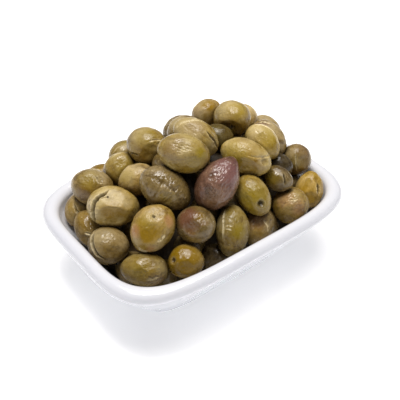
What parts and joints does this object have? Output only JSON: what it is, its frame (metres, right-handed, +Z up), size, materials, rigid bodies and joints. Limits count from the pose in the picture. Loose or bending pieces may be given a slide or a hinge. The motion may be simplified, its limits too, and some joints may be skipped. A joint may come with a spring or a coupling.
{
  "type": "dish of olives",
  "caption": "Small oblong white ceramic dish with slanted walls and a rolled rim, heaped high with cracked green olives, as a served starter.",
  "frame": {"origin": "middle of the dish's foot, on the surface it stands on", "axes": "+X along the dish's long side, +Y along its short side, +Z up; the picture looks from -X and -Y, 38 degrees round from -Y"},
  "size_m": [0.15, 0.111, 0.0864],
  "materials": {
    "white_glaze": "gloss",
    "olive_skin": "satin"
  },
  "bodies": {
    "root": {"dish": "white_glaze", "olive_heap": "olive_skin"}
  },
  "joints": []
}
